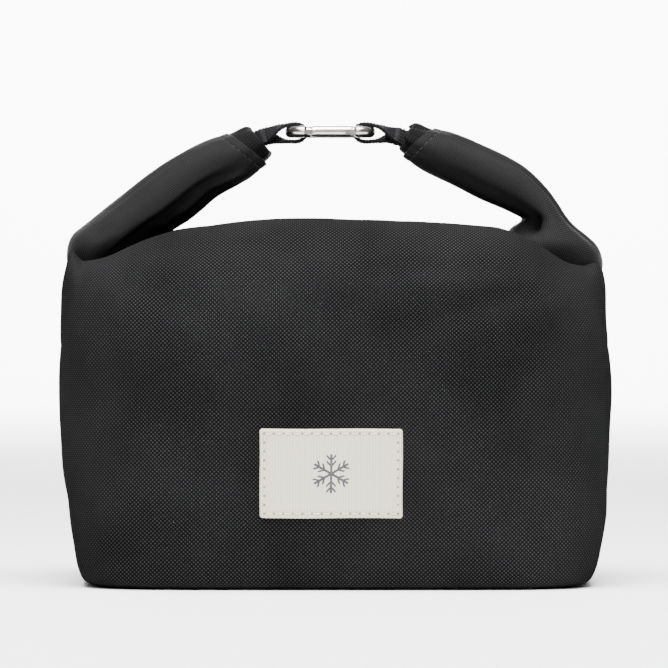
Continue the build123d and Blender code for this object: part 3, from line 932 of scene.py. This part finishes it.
def sleeve_stitches(side, line, moves):
    """Running stitch round the turned hem of the sleeve."""
    start = SLEEVE_START[side]
    count = 26
    parts = []
    fine = line.rings(np.array([start + HEM_STITCH_LINE]), 0.0, moves, hem_lean(side))[0]
    spread = resample(np.vstack([fine, fine[:1]]), count * 10 + 1)
    centre = fine.mean(axis=0)
    for k in range(count):
        piece = spread[k * 10: k * 10 + 7]
        away = piece - centre
        away /= np.linalg.norm(away, axis=1)[:, None]
        lift = 0.28 * np.sin(np.linspace(0.12, math.pi - 0.12, len(piece)))
        path = piece + away * (lift[:, None] - 0.02)
        parts.append(tube_parts(path, 0.24, 6, up=(0.3, 0.8, 0.5)))
    stitches = join_meshes(f"{side}_hem_stitches", parts)
    finish_piece(stitches, f"{side}_handle", BLACK_THREAD)


def roll_moves(x, angle):
    """Slow and quick waves of the rolled rim."""
    return 0.6 * np.sin(x / 21.0 + 2 * np.sin(angle)) + 0.4 * np.sin(x / 9.0 + 3 * angle)


def make_valley_roll():
    """The rolled rim in the valley: a flattened spiral of cloth, its free edge on the back."""
    turns, layers = 2.35, 150
    a = np.linspace(0, turns * 2 * math.pi, layers)
    grow = a / a[-1]
    outer_w, outer_h = 7.0 + 10.5 * grow, 3.2 + 6.6 * grow
    phase = math.radians(-20)
    spiral = np.stack([outer_w * np.cos(a + phase), outer_h * np.sin(a + phase)], axis=1)
    tangent = np.gradient(spiral, axis=0)
    tangent /= np.linalg.norm(tangent, axis=1)[:, None]
    inner = spiral + np.stack([-tangent[:, 1], tangent[:, 0]], axis=1) * 1.5
    outline = np.vstack([spiral, inner[::-1]])
    xs = np.linspace(-101, 97, 130)
    rows = np.zeros((len(xs), len(outline), 3))
    for i, x in enumerate(xs):
        ang = np.arctan2(outline[:, 1], outline[:, 0])
        swell = 1.0 + 0.02 * roll_moves(x, ang)
        end = 1.0 - 0.22 * float(smooth(78, 100, abs(x)))
        rows[i, :, 0] = x
        rows[i, :, 1] = outline[:, 0] * swell * end + 0.5 * math.sin(x / 34.0)
        rows[i, :, 2] = 155.0 - 5.0 * float(smooth(60, 100, abs(x))) + outline[:, 1] * swell * end
    m = len(outline)
    uv = np.zeros((len(xs), m + 1, 2))
    uv[:, :, 0] = arc_lengths(np.vstack([outline, outline[:1]]))[None, :]
    uv[:, :, 1] = xs[:, None]
    roll = grid_object("valley_roll", rows, uv, cap_start=False, cap_end=False)
    bm = bmesh.new()
    bm.from_mesh(roll.data)
    bmesh.ops.holes_fill(bm, edges=[e for e in bm.edges if e.is_boundary], sides=0)
    bm.to_mesh(roll.data)
    bm.free()
    finish_piece(roll, "bag", FABRIC, ("rolled_rim", "rolled_rim_core"))


for side_name in ("left", "right"):
    sleeve_line, sleeve_folds = make_sleeve(side_name)
    make_inner_layers(side_name, sleeve_line)
    sleeve_stitches(side_name, sleeve_line, sleeve_folds)
make_valley_roll()


# ---- webbing loops and bar tacks

# Middle of the band on its way out, round the hook and back: distance out from the hook's centre
# and height over the pair's own middle line
LOOP_LINE = [
    (52.0, 1.1), (44.0, 1.1), (36.0, 1.1), (31.0, 1.15), (27.4, 1.7), (23.6, 3.0), (19.6, 3.7),
    (16.2, 3.9), (13.5, 3.2), (12.0, 1.3), (11.8, -0.9), (13.0, -3.2), (15.8, -4.3),
    (19.6, -4.1), (23.6, -3.2), (27.4, -1.7), (31.0, -1.15), (36.0, -1.1), (44.0, -1.1), (52.0, -1.1),
]
# The pair's middle line: distance out, height over the hook's plane
PAIR_LINE = {
    "left": [(8, -0.1), (14, -0.1), (20, -0.4), (26, -1.2), (33, -2.9), (40, -6.6), (48, -11.8), (56, -17.2)],
    "right": [(8, -0.1), (14, -0.1), (20, -0.4), (26, -1.1), (33, -2.4), (40, -5.4), (48, -9.2), (56, -13.2)],
}
STRAND = 2.1  # thickness of one strand
WEB_WIDTH = 8.0
TURN_SPAN = {"left": (18.5, 37.0), "right": (19.5, 39.0)}  # where the pair turns its face to the front


def ribbon(path, width, thickness):
    """Rows of a flat band along a path in the XZ plane; the band's width runs along Y."""
    path = np.asarray(path, float)
    tangent = np.gradient(path, axis=0)
    tangent /= np.linalg.norm(tangent, axis=1)[:, None]
    count = 36
    angle = np.arange(count) / count * 2 * math.pi
    rows = np.zeros((len(path), count, 3))
    s = arc_lengths(path)
    for i, (p, t) in enumerate(zip(path, tangent)):
        nx, nz = -t[1], t[0]
        c = np.sign(np.cos(angle)) * np.abs(np.cos(angle)) ** 0.45 * width / 2
        d = np.sign(np.sin(angle)) * np.abs(np.sin(angle)) ** 0.6 * thickness / 2
        # picks of the weft show as small notches along both edges
        pick = math.sin(s[i] * 2 * math.pi / WEB_RIB)
        edge = np.abs(np.cos(angle)) ** 4 * 0.26 * pick
        c = c + np.sign(c) * edge
        d = d * (1 + 0.16 * pick)
        rows[i, :, 0] = p[0] + nx * d
        rows[i, :, 1] = c
        rows[i, :, 2] = p[1] + nz * d
    return rows


def strand_uv(rows):
    """Cloth map of a band: u round it, v along it, in millimetres."""
    n, m = rows.shape[:2]
    uv = np.zeros((n, m + 1, 2))
    uv[:, :, 0] = arc_lengths(np.vstack([rows[n // 2], rows[n // 2][:1]]))[None, :]
    uv[:, :, 1] = arc_lengths(rows.mean(axis=1))[:, None]
    return uv


def make_webbing(side):
    """One loop of webbing over the end of the snap hook, doubled and turned where it enters the sleeve."""
    sign = SIDE_SIGN[side]
    middle = through(PAIR_LINE[side], np.linspace(0, 1, 400))
    slope = np.gradient(middle[:, 1], middle[:, 0])

    def placed(points):
        """Points given as distance out, place across the band and height over the pair, put on the bag."""
        points = np.asarray(points, float)
        out, across, over = points[..., 0], points[..., 1], points[..., 2]
        z = np.interp(out, middle[:, 0], middle[:, 1])
        lean = np.arctan(np.interp(out, middle[:, 0], slope))
        turn = math.pi / 2 * smooth(*TURN_SPAN[side], out)
        upward = over * np.cos(turn) + across * np.sin(turn)
        y = across * np.cos(turn) - over * np.sin(turn)
        x = out - upward * np.sin(lean)
        return np.stack([CLIP[0] + sign * x, y, CLIP[1] + z + upward * np.cos(lean)], axis=-1)

    path = resample(through(LOOP_LINE, np.linspace(0, 1, 900)), 330)
    rows = placed(ribbon(path, WEB_WIDTH, STRAND))
    loop = grid_object(f"{side}_webbing", rows, strand_uv(rows), cap_start=True, cap_end=True)
    finish_piece(loop, f"{side}_handle", WEBBING, (f"{side}_webbing_loop",))

    # bar tack: close zigzag stitches over both faces of the pair, just before it enters the sleeve
    parts = []
    for face in (1, -1):
        for k in range(13):
            across = -3.4 + 6.8 * k / 12
            lifts = (2.1, 2.3, 2.35, 2.3, 2.1)
            stitch = [(30.4 + 2.4 * f, across + 0.25 * (2 * f - 1), face * lift)
                      for f, lift in zip(np.linspace(0, 1, 5), lifts)]
            parts.append(tube_parts(placed(stitch), 0.2, 6, up=(0.2, 1, 0.3)))
    tack = join_meshes(f"{side}_tack_stitches", parts)
    finish_piece(tack, f"{side}_handle", BLACK_THREAD, (f"{side}_bar_tack",))


for side_name in ("left", "right"):
    make_webbing(side_name)


# ---- label

def make_label():
    """Ribbed cotton patch that follows the front of the bag, with a soft rolled edge."""
    nx, nz = 141, 91
    half_w, half_h = LABEL_SIZE[0] / 2, LABEL_SIZE[1] / 2
    us, vs = np.linspace(-half_w, half_w, nx), np.linspace(-half_h, half_h, nz)
    top = np.zeros((nz, nx, 3))
    under = np.zeros((nz, nx, 3))
    for i, v in enumerate(vs):
        for j, u in enumerate(us):
            edge = min(half_w - abs(u), half_h - abs(v))
            cut = max(0.0, 0.8 - (half_w - abs(u)) - (half_h - abs(v))) * 0.5
            x = LABEL_CENTRE[0] + u - cut * math.copysign(1, u) + 0.10 * math.sin(v / 6.0)
            z = LABEL_CENTRE[1] + v - cut * math.copysign(1, v) + 0.10 * math.sin(u / 8.0)
            crown = 0.55 + 0.75 * float(smooth(0.0, 0.9, edge))
            crown -= 0.34 * float(bump(edge, 2.1, 0.75))
            crown += 0.12 * float(wave_noise(u, v, 12, 21))
            if edge < 0.01:
                crown = 0.35
            top[i, j] = on_front(x, z, crown)
            under[i, j] = on_front(x, z, -0.15)
    verts = np.concatenate([top.reshape(-1, 3), under.reshape(-1, 3)])
    faces, uvs = [], []
    size = nx * nz

    def corner(i, j):
        return us[j], vs[i]

    for i in range(nz - 1):
        for j in range(nx - 1):
            quad = ((i, j), (i, j + 1), (i + 1, j + 1), (i + 1, j))
            faces.append(tuple(a * nx + b for a, b in quad))
            uvs += [corner(a, b) for a, b in quad]
            faces.append(tuple(size + a * nx + b for a, b in quad[::-1]))
            uvs += [corner(a, b) for a, b in quad[::-1]]
    border = [(0, j) for j in range(nx)] + [(i, nx - 1) for i in range(1, nz)] \
        + [(nz - 1, j) for j in range(nx - 2, -1, -1)] + [(i, 0) for i in range(nz - 2, 0, -1)]
    for k, (i, j) in enumerate(border):
        a, b = border[(k + 1) % len(border)]
        faces.append((i * nx + j, size + i * nx + j, size + a * nx + b, a * nx + b))
        uvs += [corner(i, j), corner(i, j), corner(a, b), corner(a, b)]
    label = new_object("woven_label", verts, faces, uvs)
    finish_piece(label, "bag", LABEL, ("label_patch",))


def make_label_stitches():
    """Running stitch inside the label's edge, each stitch pulled into the cloth at both ends."""
    inset, pitch, gap = 2.1, 4.3, 1.0
    half_w, half_h = LABEL_SIZE[0] / 2 - inset, LABEL_SIZE[1] / 2 - inset
    corners = [(-half_w, -half_h), (half_w, -half_h), (half_w, half_h), (-half_w, half_h)]
    rng = np.random.default_rng(5)
    threads, holes = [], []
    for (x0, z0), (x1, z1) in zip(corners, corners[1:] + corners[:1]):
        length = math.hypot(x1 - x0, z1 - z0)
        ux, uz = (x1 - x0) / length, (z1 - z0) / length
        count = round(length / pitch)
        for k in range(count):
            start, end = k * length / count + gap / 2, (k + 1) * length / count - gap / 2
            lean = rng.uniform(-0.25, 0.25)
            path = []
            for f in np.linspace(0, 1, 9):
                d, side = start + (end - start) * f, lean * (2 * f - 1)
                lift = 0.98 + 0.42 * math.sin(math.pi * f) ** 0.6 if 0 < f < 1 else 0.7
                path.append(on_front(LABEL_CENTRE[0] + x0 + ux * d + uz * side,
                                     LABEL_CENTRE[1] + z0 + uz * d - ux * side, lift))
            threads.append(tube_parts(path, 0.3, 8, up=(0, -1, 0)))
            # a dark brown dimple at each needle hole is painted shade
            d = k * length / count
            x, z = LABEL_CENTRE[0] + x0 + ux * d, LABEL_CENTRE[1] + z0 + uz * d
            slant = 0.42 * rng.uniform(0.7, 1.2)
            dimple = [on_front(x - ux * slant, z - uz * slant, 0.95), on_front(x, z, 1.08),
                      on_front(x + ux * slant, z + uz * slant, 0.95)]
            holes.append(tube_parts(dimple, (0.28, 0.54, 0.28), 8, up=(0, -1, 0)))
    for name, parts, material in (("label_stitches", threads, LABEL_THREAD),
                                  ("label_hole_painted_shade", holes, NEEDLE_HOLE_PAINTED_SHADE)):
        piece = join_meshes(name, parts)
        finish_piece(piece, "bag", material)


make_label()
make_label_stitches()


# ---- snap hook

for node_name, material in (("hook_body", STEEL), ("hook_gate", STEEL), ("gate_pivot_pin", STEEL),
                            ("gate_plunger", STEEL), ("gate_spring", SPRING_STEEL)):
    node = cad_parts[node_name]
    node.data.materials.clear()
    node.data.materials.append(material)
